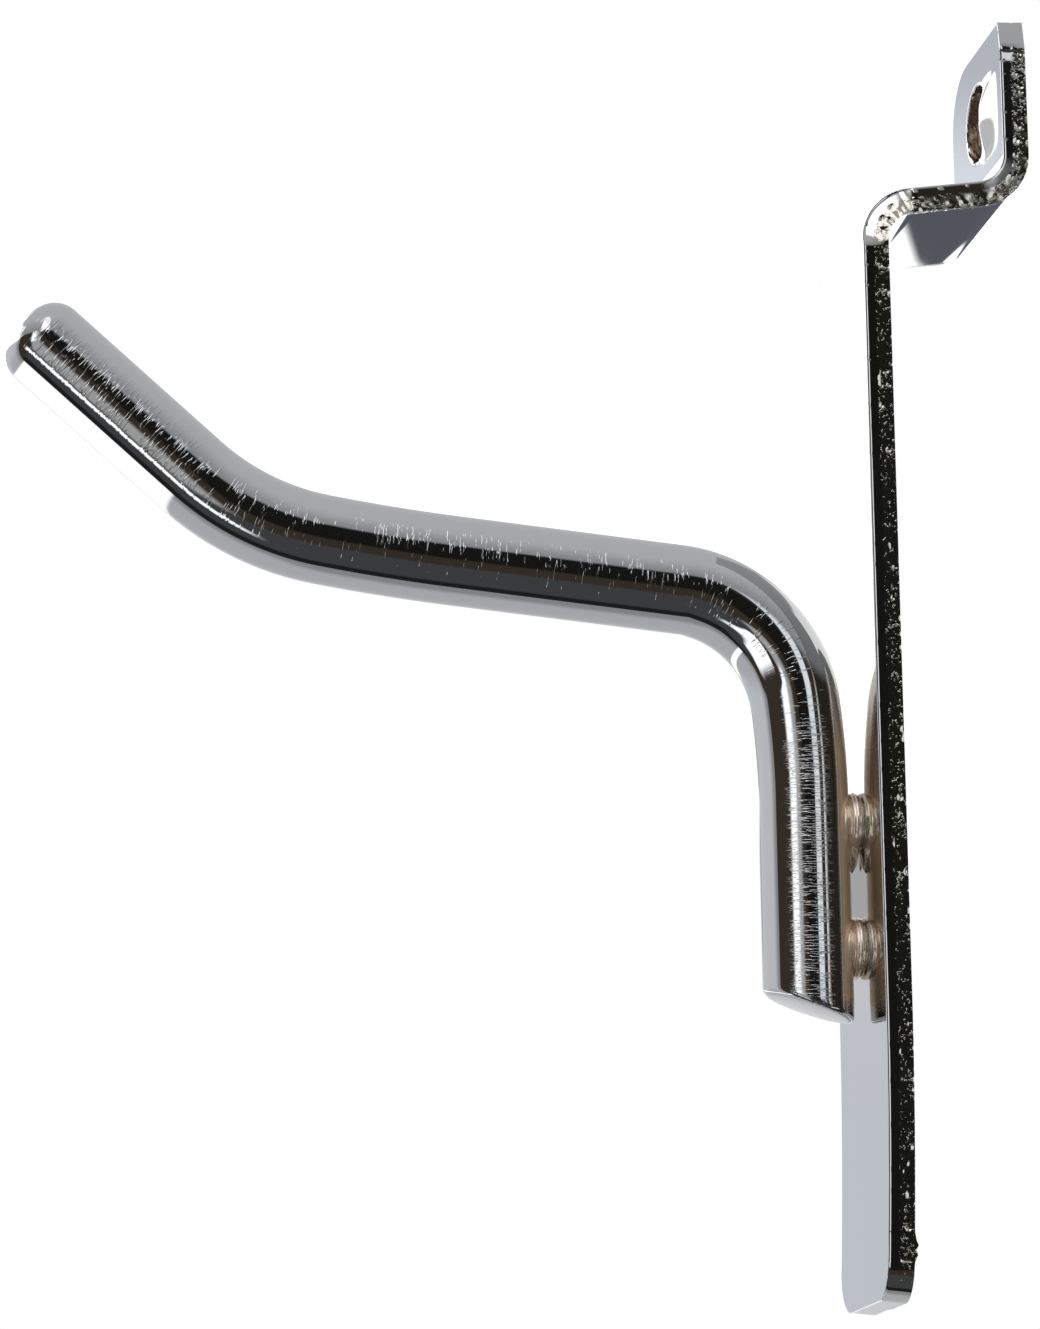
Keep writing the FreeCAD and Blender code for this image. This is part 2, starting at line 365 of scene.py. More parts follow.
def foot_burr(along, depth, across):
    """A lump of torn metal at the back of the foot's near corner."""
    reach = math.hypot((along - 3.3) / 1.1, (depth - STRIP_T) / 0.8)
    if across < STRIP_HALF_W - 1.0 or reach > 1:
        return 0.0
    rough = 0.7 + 0.6 * ripple(along * 3.0, depth * 3.0, 2.0)
    near_edge = smooth(across, STRIP_HALF_W - 1.0, STRIP_HALF_W - 0.3)
    return BURR_HEIGHT * smooth(reach, 1.0, 0.2) * rough * near_edge


def strip_blank():
    """The flat blank, with close rows of points on its side edges and closer cells round the hole's place."""
    bpy.ops.object.select_all(action="DESELECT")
    bpy.ops.mesh.primitive_grid_add(x_subdivisions=720, y_subdivisions=32, size=1,
                                    location=(STRIP_LEN / 2, -STRIP_T / 2, 0), rotation=(math.pi / 2, 0, 0))
    blank = bpy.context.object
    blank.name = "back_plate_chrome"
    blank.scale = (STRIP_LEN, 2 * STRIP_HALF_W, 1)
    bpy.ops.object.transform_apply(location=True, rotation=True, scale=True)

    # Rows through the thickness: five in the rolled-over front corner, then one for each 0.1 mm
    rows = [SHEAR_ROLL_R * (1 - math.cos(math.radians(a))) for a in (15, 32, 50, 70, 90)]
    rows += [SHEAR_ROLL_R + (STRIP_T - SHEAR_ROLL_R) * i / 15 for i in range(1, 15)]
    heights = [STRIP_T - row for row in reversed(rows)] + [STRIP_T]
    bpy.ops.object.mode_set(mode="EDIT")
    bpy.ops.mesh.select_all(action="SELECT")
    done = 0.0
    for height in heights:
        bpy.ops.mesh.extrude_region_move(TRANSFORM_OT_translate={"value": (0, height - done, 0)})
        done = height
    bpy.ops.mesh.select_all(action="SELECT")
    bpy.ops.mesh.normals_make_consistent(inside=False)

    def crosses_by_hole(mesh, edge):
        a, b = (mesh.vertices[i].co for i in edge.vertices)
        on_face = abs(abs(a.y) - STRIP_T / 2) < 1e-5 and abs(abs(b.y) - STRIP_T / 2) < 1e-5
        return on_face and abs(a.z - b.z) > 0.01 and abs(a.x - HOLE_AT) < 4.2 and abs(a.y - b.y) < 1e-5

    pick(blank, "EDGE", crosses_by_hole)
    bpy.ops.mesh.subdivide(number_cuts=3)
    bpy.ops.object.mode_set(mode="OBJECT")
    return blank


def shear_blank(plate):
    """Gives the blank its sheared edges, its end corners, its hole's web and lip, and the foot's burr."""
    for v in plate.data.vertices:
        along, through, across = v.co
        depth = STRIP_T / 2 - through
        share = across / STRIP_HALF_W
        across = STRIP_HALF_W * math.sin(math.pi / 2 * share)
        front = depth < 1e-4
        inset = edge_inset(along, depth, share > 0)
        foot_back = slab_end(across, False) * max(0.0, 1 - along / 6)
        top_back = slab_end(across, True) * max(0.0, 1 - (STRIP_LEN - along) / 6)
        if abs(share) > 0.9999:
            if share > 0:
                inset += top_facets(STRIP_LEN - along, depth)
            across = math.copysign(STRIP_HALF_W - inset, share)
        elif front:
            across *= 1 - SHEAR_ROLL_R / STRIP_HALF_W
        end_inset = 0.0
        if min(along, STRIP_LEN - along) < 1e-4:
            end_inset = min(inset, SHEAR_ROLL_R)
        elif front:
            end_inset = SHEAR_ROLL_R
        along += (foot_back + end_inset * max(0.0, 1 - along / 4)
                  - top_back - end_inset * max(0.0, 1 - (STRIP_LEN - along) / 4))
        lift = web_lift(along, across)
        if front:
            lift -= hole_lip(along, across)
        v.co = (along, through + lift - foot_burr(along, depth, across), across)


def punch_for_hole():
    """The punch: a cylinder through the strip, wider and torn where it comes out at the front."""
    bpy.ops.mesh.primitive_cylinder_add(vertices=96, radius=HOLE_R, depth=4 * STRIP_T,
                                        location=(HOLE_AT, 0, 0), rotation=(math.pi / 2, 0, 0))
    punch = bpy.context.object
    bpy.ops.object.transform_apply(location=True, rotation=True)
    bpy.ops.object.mode_set(mode="EDIT")
    divide_along(punch, 1, 1.0, 60)
    bpy.ops.object.mode_set(mode="OBJECT")
    for v in punch.data.vertices:
        depth = STRIP_T / 2 - v.co.y
        torn = smooth(depth, 1.05, 0.80)
        grow = torn * (PUNCH_TEAR[0] + PUNCH_TEAR[1] * max(0.0, noise.noise(v.co * 1.7) + 0.1))
        out = Vector((v.co.x - HOLE_AT, 0, v.co.z))
        if out.length > HOLE_R / 2:
            v.co += out.normalized() * grow
    return punch


def ball_for_dimple(height):
    """The ball that presses a weld's dimple into the plate's back."""
    radius = (DIMPLE_R ** 2 + DIMPLE_DEPTH ** 2) / (2 * DIMPLE_DEPTH)
    bpy.ops.mesh.primitive_uv_sphere_add(segments=48, ring_count=32, radius=radius,
                                         location=(height, -STRIP_T / 2 + DIMPLE_DEPTH - radius, 0))
    bpy.ops.object.transform_apply(location=True)
    return bpy.context.object


def make_back_plate():
    """The strip: a flat blank with sheared edges, a punched hole and dimples, then its bow and two folds."""
    plate = strip_blank()
    shear_blank(plate)
    for cutter in [punch_for_hole()] + [ball_for_dimple(height) for height, flash in WELDS.values()]:
        only(plate)
        cut = plate.modifiers.new("cut", "BOOLEAN")
        cut.operation = "DIFFERENCE"
        cut.solver = "EXACT"
        cut.object = cutter
        bpy.ops.object.modifier_apply(modifier="cut")
        bpy.data.objects.remove(cutter)
    keep_flat_place(plate)
    bend(plate, strip_line())
    bpy.ops.object.shade_smooth_by_angle(angle=math.radians(32))
    return plate


def round_rim(wire, rim, reach, radius, steps):
    """In edit mode, rounds the rim of one end of the straight wire."""
    def on_rim(mesh, edge):
        a, b = (mesh.vertices[i].co for i in edge.vertices)
        return max(abs(a.x - rim), abs(b.x - rim)) < reach and abs(a.x - b.x) < 0.2

    pick(wire, "EDGE", on_rim)
    bpy.ops.mesh.bevel(offset=radius, segments=steps, affect="EDGES")


def tool_marks(along, angle):
    """How deep the bending tool pressed the wire, along it from the start of the riser's bend. The angle is
    nought at the bend's inside and 90 on the side that faces +X."""
    push = 0.0
    here = smooth(along, *FLAT_RISE) * smooth(along, *FLAT_FADE)
    half = math.radians(FLAT_HALF)
    for side in FLAT_SIDES:
        off = math.radians(angle - side)
        if abs(off) < half:
            push = max(push, here * WIRE_R * (1 - math.cos(half) / math.cos(off)))
    lean = CREASE_AT + 0.012 * abs(angle)
    crease = math.exp(-((along - BEND_LEN - lean) / CREASE_W) ** 2)
    return push + CREASE_DEPTH * crease * smooth(abs(angle), 75, 30)


def make_hook_rod():
    """The wire: round stock with a slanted and a rounded end, the bending tool's marks, and its bends."""
    bpy.ops.object.select_all(action="DESELECT")
    bpy.ops.mesh.primitive_cylinder_add(vertices=96, radius=WIRE_R, depth=WIRE_LEN,
                                        location=(WIRE_LEN / 2, 0, 0), rotation=(0, math.pi / 2, 0))
    wire = bpy.context.object
    wire.name = "hook_rod_chrome"
    bpy.ops.object.transform_apply(location=True, rotation=True)
    slant, tilt = math.radians(WIRE_END_SLANT), math.radians(WIRE_END_TILT)
    cut_way = (math.cos(slant) * math.cos(tilt), -math.sin(slant), math.cos(slant) * math.sin(tilt))
    bpy.ops.object.mode_set(mode="EDIT")
    bpy.ops.mesh.select_all(action="SELECT")
    bpy.ops.mesh.bisect(plane_co=(2 * WIRE_R, 0, 0), plane_no=cut_way, use_fill=True, clear_inner=True)
    round_rim(wire, WIRE_LEN, 0.001, TIP_ROUND_R, 14)
    round_rim(wire, 0.0, 4 * WIRE_R, WIRE_END_ROUND, 6)
    for cuts in (99, 3):
        divide_along(wire, 0, 0.7, cuts)
    bpy.ops.object.mode_set(mode="OBJECT")
    keep_flat_place(wire)
    for v in wire.data.vertices:
        radius = math.hypot(v.co.y, v.co.z)
        if radius < WIRE_R - 0.01:
            continue
        angle = math.degrees(math.atan2(v.co.z, v.co.y))
        push = tool_marks(v.co.x - BEND_FROM, angle)
        v.co.y *= 1 - push / radius
        v.co.z *= 1 - push / radius
    bend(wire, wire_line())
    bpy.ops.object.shade_smooth_by_angle(angle=math.radians(35))
    return wire


def weld_radius(depth):
    """The weld's radius at a depth in front of the plate, smooth between the profile's points."""
    for (d0, r0), (d1, r1) in zip(WELD_PROFILE, WELD_PROFILE[1:]):
        if depth <= d1 + 1e-6:
            return r0 + (r1 - r0) * smooth(depth, d0, d1)
    return WELD_PROFILE[-1][1]


def make_weld(name, height, flash):
    """Weld metal squeezed between wire and plate: a barrel on the plate, a groove, and a ring that hugs the
    wire. Flash is how far torn metal hangs below it."""
    first, last = WELD_PROFILE[0][0], WELD_PROFILE[-1][0]
    bpy.ops.object.select_all(action="DESELECT")
    bpy.ops.mesh.primitive_cylinder_add(vertices=96, radius=1.0, depth=last - first,
                                        rotation=(math.pi / 2, 0, 0))
    weld_body = bpy.context.object
    weld_body.name = name + "_chrome"
    bpy.ops.object.transform_apply(rotation=True)
    bpy.ops.object.mode_set(mode="EDIT")
    divide_along(weld_body, 1, 1.0, 47)
    bpy.ops.object.mode_set(mode="OBJECT")
    for v in weld_body.data.vertices:
        depth = (last - first) / 2 - v.co.y + first
        angle = math.degrees(math.atan2(v.co.x, -v.co.z))
        radius = weld_radius(depth) * (WELD_SWELL + 0.02 * ripple(angle * 0.05, depth * 1.5, height))
        if flash:
            hang = smooth(abs(angle), 34, 6) * smooth(depth, 0.05, 0.3) * smooth(depth, 0.95, 0.7)
            radius += flash * hang * (0.8 + 0.7 * ripple(angle * 0.11, depth * 4.0, 3.0))
        v.co.x *= radius
        v.co.z *= radius
        v.co.y = -STRIP_T - depth
        v.co.z += FOOT_Z + height
    only(weld_body)
    weld_body.scale = (MM, MM, MM)
    bpy.ops.object.transform_apply(location=False, rotation=False, scale=True)
    bpy.ops.object.shade_smooth_by_angle(angle=math.radians(50))
    return weld_body


def node(tree, kind, inputs=None, output=0, **settings):
    """Adds a node with its settings, sets or links its inputs, and gives one of its outputs."""
    made = tree.nodes.new(kind)
    for key, value in settings.items():
        setattr(made, key, value)
    for key, value in (inputs or {}).items():
        if isinstance(value, bpy.types.NodeSocket):
            tree.links.new(value, made.inputs[key])
        else:
            made.inputs[key].default_value = value
    return made.outputs[output] if made.outputs else None


def between(tree, value, low, high, soft):
    """One where a value lies between low and high, with soft sides."""
    rise = node(tree, "ShaderNodeMapRange", {"Value": value, "From Min": low - soft, "From Max": low + soft},
                interpolation_type="SMOOTHSTEP")
    fall = node(tree, "ShaderNodeMapRange", {"Value": value, "From Min": high - soft, "From Max": high + soft,
                                             "To Min": 1.0, "To Max": 0.0}, interpolation_type="SMOOTHSTEP")
    return node(tree, "ShaderNodeMath", {0: rise, 1: fall}, operation="MULTIPLY")


def new_material(name):
    """An empty node material, and its tree."""
    mat = bpy.data.materials.new(name)
    mat.use_nodes = True
    mat.node_tree.nodes.clear()
    return mat, mat.node_tree


def finish_material(tree, colour, metallic, rough, bump):
    """Ends a material's tree with one surface."""
    surface = node(tree, "ShaderNodeBsdfPrincipled", {"Base Color": colour, "Metallic": metallic,
                                                      "Roughness": rough, "Normal": bump})
    node(tree, "ShaderNodeOutputMaterial", {"Surface": surface})


def stock_place(tree):
    """A bent piece's place in its straight stock, in millimetres: the vector, and its three parts."""
    stock = node(tree, "ShaderNodeAttribute", output="Vector", attribute_name="stock")
    parts = [node(tree, "ShaderNodeSeparateXYZ", {0: stock}, output=i) for i in range(3)]
    return stock, *parts


def torn_part(tree, along, depth, across):
    """Where the surface is torn side edge, and where it is side edge. The chamfered corner isn't torn."""
    out = node(tree, "ShaderNodeMath", {0: across}, operation="ABSOLUTE")
    side = node(tree, "ShaderNodeMapRange", {"Value": out, "From Min": STRIP_HALF_W - 0.40,
                                             "From Max": STRIP_HALF_W - 0.32})
    below_tear = node(tree, "ShaderNodeMapRange", {"Value": depth, "From Min": TEAR_DEPTH - 0.06,
                                                   "From Max": TEAR_DEPTH + 0.10})
    torn = node(tree, "ShaderNodeMath", {0: side, 1: below_tear}, operation="MULTIPLY")
    no_chamfer = node(tree, "ShaderNodeMapRange", {"Value": along, "From Min": STRIP_LEN - 2.2,
                                                   "From Max": STRIP_LEN - 2.0, "To Min": 1.0, "To Max": 0.0})
    return node(tree, "ShaderNodeMath", {0: torn, 1: no_chamfer}, operation="MULTIPLY"), side


def hole_wall(tree, along, depth, across):
    """Where the surface is the punched hole's wall, below its rolled lip."""
    hole_x = node(tree, "ShaderNodeMath", {0: along, 1: HOLE_AT}, operation="SUBTRACT")
    hole_place = node(tree, "ShaderNodeCombineXYZ", {"X": hole_x, "Y": across})
    ring = node(tree, "ShaderNodeVectorMath", {0: hole_place}, output="Value", operation="LENGTH")
    by_hole = node(tree, "ShaderNodeMapRange", {"Value": ring, "From Min": HOLE_R + 0.22,
                                                "From Max": HOLE_R + 0.17, "To Min": 0.0, "To Max": 1.0})
    below_lip = node(tree, "ShaderNodeMapRange", {"Value": depth, "From Min": 0.10, "From Max": 0.18})
    return node(tree, "ShaderNodeMath", {0: by_hole, 1: below_lip}, operation="MULTIPLY")


def strip_material():
    """Bright chrome plate on rolled strip. The faces are a flat mirror with a very slight haze. On the
    sheared edges the smooth part has faint drag lines and the torn part is dark with sparse sharp grains that
    glint; the punched hole's wall, where the plate is thin, is dull and brownish."""
    mat, tree = new_material("bright_chrome_on_sheared_strip")
    stock, along, through, across = stock_place(tree)
    depth = node(tree, "ShaderNodeMath", {0: STRIP_T / 2, 1: through}, operation="SUBTRACT")
    torn, side = torn_part(tree, along, depth, across)

    # Torn grains of 0.2 mm, in patches about 2 mm long, closer together towards the tongue
    grain_place = node(tree, "ShaderNodeVectorMath", {0: stock, 1: cells(0.2174, 0.1852, 1.0)},
                       operation="MULTIPLY")
    grain = node(tree, "ShaderNodeTexNoise", {"Vector": grain_place, "Scale": 1.0, "Detail": 1.0})
    patch_place = node(tree, "ShaderNodeVectorMath", {0: stock, 1: cells(1.818, 1.111, 1.0)},
                       operation="MULTIPLY")
    patches = node(tree, "ShaderNodeTexNoise", {"Vector": patch_place, "Scale": 1.0, "Detail": 1.0})
    close = node(tree, "ShaderNodeMapRange", {"Value": along, "From Min": STRIP_LEN - 34.0,
                                              "From Max": STRIP_LEN - 12.0, "To Min": 0.0, "To Max": 0.03})
    more = node(tree, "ShaderNodeMath", {0: patches, 1: 0.34, 2: close}, operation="MULTIPLY_ADD")
    sum_grain = node(tree, "ShaderNodeMath", {0: grain, 1: more}, operation="ADD")
    grains = node(tree, "ShaderNodeMapRange", {"Value": sum_grain, "From Min": 0.81, "From Max": 0.885})
    grains = node(tree, "ShaderNodeMath", {0: grains, 1: torn}, operation="MULTIPLY")

    # Drag lines through the edge, one for each 0.1 mm, a twentieth as high as the grains
    drag_place = node(tree, "ShaderNodeVectorMath", {0: stock, 1: cells(0.1111, 1.111, 1.0)},
                      operation="MULTIPLY")
    drag = node(tree, "ShaderNodeTexNoise", {"Vector": drag_place, "Scale": 1.0, "Detail": 2.0})
    drag = node(tree, "ShaderNodeMath", {0: drag, 1: side}, operation="MULTIPLY")
    height = node(tree, "ShaderNodeMath", {0: drag, 1: 0.05, 2: grains}, operation="MULTIPLY_ADD")
    bump = node(tree, "ShaderNodeBump", {"Strength": 1.0, "Distance": 0.013 * MM, "Height": height})

    # Haze in clouds of 3 mm, duller where torn
    haze = node(tree, "ShaderNodeTexNoise", {"Vector": stock, "Scale": cells(2.857)[0], "Detail": 3.0})
    haze = node(tree, "ShaderNodeMapRange", {"Value": haze, "To Min": 0.010, "To Max": 0.022})
    rough = node(tree, "ShaderNodeMath", {0: torn, 1: 0.06, 2: haze}, operation="MULTIPLY_ADD")

    # The hole's wall, speckled at 0.3 mm
    wall = hole_wall(tree, along, depth, across)
    speckle = node(tree, "ShaderNodeTexNoise", {"Vector": stock, "Scale": cells(0.3333)[0], "Detail": 3.0})
    wall_rough = node(tree, "ShaderNodeMapRange", {"Value": speckle, "From Min": 0.35, "From Max": 0.65,
                                                   "To Min": 0.45, "To Max": 0.20})
    rough = node(tree, "ShaderNodeMix", {0: wall, 2: rough, 3: wall_rough}, data_type="FLOAT")
    colour = node(tree, "ShaderNodeMix", {0: torn, 6: linear("c6c6c5"), 7: linear("bfbeb4")}, output=2,
                  data_type="RGBA")
    colour = node(tree, "ShaderNodeMix", {0: wall, 6: colour, 7: linear("9c8876")}, output=2,
                  data_type="RGBA")
    finish_material(tree, colour, 1.0, rough, bump)
    return mat


def wire_scratches(tree, stock, along, turned):
    """Short fine scratches round the wire, as a height: ticks of 0.2 by 1 mm on the prong, and longer, finer
    lines on the riser, in groups of about 2 mm. They are close together on the riser and the tip, and only on
    the wire's sides."""
    tick_place = node(tree, "ShaderNodeVectorMath", {0: stock, 1: cells(0.16667, 1.1111, 1.1111)},
                      operation="MULTIPLY")
    ticks = node(tree, "ShaderNodeTexNoise", {"Vector": tick_place, "Scale": 1.0, "Detail": 1.0})
    line_place = node(tree, "ShaderNodeVectorMath", {0: stock, 1: cells(0.125, 1.4286, 1.4286)},
                      operation="MULTIPLY")
    lines = node(tree, "ShaderNodeTexNoise", {"Vector": line_place, "Scale": 1.0, "Detail": 2.0})
    group_place = node(tree, "ShaderNodeVectorMath", {0: stock, 1: cells(2.0, 2.0, 2.0)},
                       operation="MULTIPLY")
    groups = node(tree, "ShaderNodeTexNoise", {"Vector": group_place, "Scale": 1.0, "Detail": 1.0})
    on_riser = node(tree, "ShaderNodeMapRange", {"Value": along, "From Min": BEND_FROM + 3.0,
                                                 "From Max": BEND_FROM - 3.0, "To Min": 0.0, "To Max": 1.0})
    on_tip = node(tree, "ShaderNodeMapRange", {"Value": along, "From Min": TIP_FROM - 5.0,
                                               "From Max": TIP_FROM + 3.0})
    fine = node(tree, "ShaderNodeMix", {0: on_riser, 2: ticks, 3: lines}, data_type="FLOAT")
    close = node(tree, "ShaderNodeMath", {0: on_riser, 1: on_tip}, operation="MAXIMUM")
    limit = node(tree, "ShaderNodeMapRange", {"Value": close, "To Min": 0.79, "To Max": 0.69})
    more = node(tree, "ShaderNodeMath", {0: groups, 1: 0.35, 2: fine}, operation="MULTIPLY_ADD")
    over = node(tree, "ShaderNodeMath", {0: more, 1: limit}, operation="SUBTRACT")
    scratches = node(tree, "ShaderNodeMapRange", {"Value": over, "From Min": 0.0, "From Max": 0.08})
    on_side = between(tree, turned, 54.0, 116.0, 7.0)
    return node(tree, "ShaderNodeMath", {0: scratches, 1: on_side}, operation="MULTIPLY")


def painted_gap_reflection(tree, along, turned):
    """Where the wire faces the plate across the narrow gap, from above its lower end to its first bend: the
    place of the painted warm reflection between wire and plate.
    """
    beside = node(tree, "ShaderNodeMapRange", {"Value": turned, "From Min": 122.0, "From Max": 133.0})
    above_end = node(tree, "ShaderNodeMapRange", {"Value": along, "From Min": 5.4, "From Max": 6.6})
    below_bend = node(tree, "ShaderNodeMapRange", {"Value": along, "From Min": BEND_FROM + 2.0,
                                                   "From Max": BEND_FROM - 4.0, "To Min": 0.0, "To Max": 1.0})
    painted_gap = node(tree, "ShaderNodeMath", {0: beside, 1: below_bend}, operation="MULTIPLY")
    return node(tree, "ShaderNodeMath", {0: painted_gap, 1: above_end}, operation="MULTIPLY")


def wire_material():
    """Bright chrome plate on drawn wire: a mirror with short fine scratches that run round the wire, close
    together on the riser and the tip and scattered on the prong. In the narrow gap beside the plate the wire
    is
    painted tan and part matt: a painted warm reflection of the dim light between wire and plate."""
    mat, tree = new_material("bright_chrome_on_drawn_wire")
    stock, along, y, z = stock_place(tree)
    angle = node(tree, "ShaderNodeMath", {0: z, 1: y}, operation="ARCTAN2")
    round_from_inside = node(tree, "ShaderNodeMath", {0: angle, 1: 180 / math.pi}, operation="MULTIPLY")
    turned = node(tree, "ShaderNodeMath", {0: round_from_inside}, operation="ABSOLUTE")
    scratches = wire_scratches(tree, stock, along, turned)
    bump = node(tree, "ShaderNodeBump", {"Strength": 1.0, "Distance": 0.0065 * MM, "Height": scratches})
    haze = node(tree, "ShaderNodeTexNoise", {"Vector": stock, "Scale": cells(2.5)[0], "Detail": 3.0})
    haze = node(tree, "ShaderNodeMapRange", {"Value": haze, "To Min": 0.03, "To Max": 0.05})
    painted_gap = painted_gap_reflection(tree, along, turned)
    # Painted warm reflection: in the gap the wire is tan, rougher and less metallic, for the light bounced
    # between wire and plate
    rough = node(tree, "ShaderNodeMix", {0: painted_gap, 2: haze, 3: 0.30}, data_type="FLOAT")
    colour = node(tree, "ShaderNodeMix", {0: painted_gap, 6: linear("c6c7c8"), 7: linear("dcc0a2")}, output=2,
                  data_type="RGBA")
    metallic = node(tree, "ShaderNodeMapRange", {"Value": painted_gap, "To Min": 1.0, "To Max": 0.4})
    finish_material(tree, colour, metallic, rough, bump)
    return mat


def weld_material():
    """Bright chrome plate over weld metal: smooth, with very shallow furrows about a millimetre wide, and the
    warm tinge of thin plate."""
    mat, tree = new_material("bright_chrome_on_weld")
    place = node(tree, "ShaderNodeTexCoord", output="Object")
    furrow_place = node(tree, "ShaderNodeVectorMath", {0: place, 1: cells(1.4286, 0.6667, 5.0, unit=MM)},
                        operation="MULTIPLY")
    furrows = node(tree, "ShaderNodeTexNoise", {"Vector": furrow_place, "Scale": 1.0, "Detail": 2.0})
    bump = node(tree, "ShaderNodeBump", {"Strength": 1.0, "Distance": 0.02 * MM, "Height": furrows})
    finish_material(tree, linear("e6d8c6"), 0.85, 0.25, bump)
    return mat


def floor_material():
    """Matt pale paper."""
    mat, tree = new_material("pale_paper")
    surface = node(tree, "ShaderNodeBsdfPrincipled", {"Base Color": linear("f4f4f4"), "Roughness": 0.9,
                                                      "Specular IOR Level": 0.0})
    node(tree, "ShaderNodeOutputMaterial", {"Surface": surface})
    return mat


# The studio is painted on the world by direction, in degrees: azimuth 0 is +X, towards the camera, and 90 is
# +Y. Each panel: what it is, its colour, its azimuths, its elevations, and how soft its upright and its level
# sides are. A later panel covers an earlier one.
WHITE = (1.9, 1.9, 1.9)
NEAR_BLACK = (0.012, 0.012, 0.011)
ROOM_GAP = ("black gap in front", NEAR_BLACK, (-9, 15), (-12, 30), 3.0, 3.0)
ROOM_PANELS = (
    ("dull wall at the left front", (0.55, 0.55, 0.55), (-42, -20), (-28, 30), 4.0, 4.0),
    ("window at the left front", WHITE, (-45, -30), (-4, 30), 4.0, 4.0),
    ("bluish window at the right front", (1.15, 1.20, 1.25), (17.5, 31), (0, 32), 1.5, 1.5),
    ("tan wall at the right", (0.50, 0.33, 0.20), (72, 100), (-10, 30), 10.0, 10.0),
)
TENT_PANELS = (
    ("white over the room's left part, for the drawn-in edge at the lower fold", (1.9, 1.85, 1.9), (-22, 3),
     (22, 62), 2.0, 2.0),
    ("white sheet behind, to the right", WHITE, (163.5, 181), (11.6, 26.0), 1.5, 0.6),
    ("white sheet behind, to the left", WHITE, (-181, -163.5), (11.6, 26.0), 1.5, 0.6),
    ("white sheet at the left", WHITE, (-162.2, -92), (16.5, 42), 0.6, 1.5),
    ("blue-grey sheet behind, for the plate's front", (0.74, 0.77, 0.84), (-181, -145), (-9.0, 9.4),
     5.0, 0.8),
    ("grey edge of that sheet", (0.52, 0.53, 0.54), (-172, -160), (9.9, 11.6), 2.0, 0.4),
)
LEDGE_SHEET = ("white sheet behind, for the ledge's underside", WHITE, (148, 164.5), (-15.5, 26), 2.0, 0.5)
LEDGE_BOARD = ("dark board on that sheet, measured inwards from its curved side", (0.13, 0.137, 0.165),
               (0.0, 30.0), (-26.0, 8.0), 0.08, 0.8)
LONG_WINDOW = ("long window, for the bend's flat and the tip's lower side", WHITE, (-61.5, -53.5),
               (-27.0, 18.0), 2.0, 7.0)

# The tent's greys, from low to high in front and from straight below to high behind
FRONT_LOW = (0.38, 0.385, 0.40, 1.0)
FRONT_HIGH = (0.66, 0.665, 0.68, 1.0)
BACK_BELOW = (0.36, 0.365, 0.38, 1.0)
BACK_LOW = (0.64, 0.65, 0.67, 1.0)
BACK_LEVEL = (0.80, 0.81, 0.83, 1.0)


def ramp(tree, value, low, high, from_colour, to_colour):
    """A colour that changes smoothly as a value goes from low to high."""
    share = node(tree, "ShaderNodeMapRange", {"Value": value, "From Min": low, "From Max": high},
                 interpolation_type="SMOOTHSTEP")
    return node(tree, "ShaderNodeMix", {0: share, 6: from_colour, 7: to_colour}, output=2, data_type="RGBA")


def add_panel(tree, so_far, az, el, panel):
    """Paints a soft panel over the colour so far."""
    name, colour, az_range, el_range, az_soft, el_soft = panel
    wide = between(tree, az, *az_range, az_soft)
    tall = between(tree, el, *el_range, el_soft)
    mask = node(tree, "ShaderNodeMath", {0: wide, 1: tall}, operation="MULTIPLY")
    return node(tree, "ShaderNodeMix", {0: mask, 6: so_far, 7: (*colour, 1.0)}, output=2, data_type="RGBA")


def tent_colour(tree, x, el):
    """The pale tent over and behind the hook, lighter behind it."""
    front = ramp(tree, el, 20.0, 62.0, FRONT_LOW, FRONT_HIGH)
    back = ramp(tree, el, -84.0, -66.0, BACK_BELOW, BACK_LOW)
    back = ramp(tree, el, -20.0, 4.0, back, BACK_LEVEL)
    back = ramp(tree, el, 20.0, 36.0, back, FRONT_HIGH)
    return ramp(tree, x, -0.25, 0.0, back, front)


def room_colour(tree, x, az, el):
    """The dark room in front of the hook, with its windows and walls."""
    room = ramp(tree, el, -34.0, -28.0, (0.075, 0.076, 0.082, 1.0), (0.055, 0.043, 0.033, 1.0))
    rim = node(tree, "ShaderNodeMapRange", {"Value": x, "From Min": 0.22, "From Max": 0.30, "To Min": 1.0,
                                            "To Max": 0.0}, interpolation_type="SMOOTHSTEP")
    low = node(tree, "ShaderNodeMapRange", {"Value": el, "From Min": -36.0, "From Max": -30.0, "To Min": 1.0,
                                            "To Max": 0.0}, interpolation_type="SMOOTHSTEP")
    dark_rim = node(tree, "ShaderNodeMath", {0: rim, 1: low}, operation="MULTIPLY")
    room = add_panel(tree, room, az, el, ROOM_GAP)
    room = node(tree, "ShaderNodeMix", {0: dark_rim, 6: room, 7: (0.02, 0.02, 0.02, 1.0)}, output=2,
                data_type="RGBA")
    for panel in ROOM_PANELS:
        room = add_panel(tree, room, az, el, panel)

    # The long window runs down to the right, below the front: it is painted on turned axes
    run = node(tree, "ShaderNodeMath", {0: az, 1: 0.785}, operation="MULTIPLY")
    run = node(tree, "ShaderNodeMath", {0: el, 1: 0.62, 2: run}, operation="MULTIPLY_ADD")
    drop = node(tree, "ShaderNodeMath", {0: az, 1: 0.62}, operation="MULTIPLY")
    drop = node(tree, "ShaderNodeMath", {0: el, 1: -0.785, 2: drop}, operation="MULTIPLY_ADD")
    return add_panel(tree, room, run, drop, LONG_WINDOW)


def in_front(tree, x, el):
    """One in the directions of the dark room, which ends at the sides and below the tent's roof."""
    ahead = node(tree, "ShaderNodeMapRange", {"Value": x, "From Min": 0.02, "From Max": 0.06},
                 interpolation_type="SMOOTHSTEP")
    below_roof = node(tree, "ShaderNodeMapRange", {"Value": el, "From Min": 20.0, "From Max": 26.0,
                                                   "To Min": 1.0, "To Max": 0.0},
                      interpolation_type="SMOOTHSTEP")
    return node(tree, "ShaderNodeMath", {0: ahead, 1: below_roof}, operation="MULTIPLY")


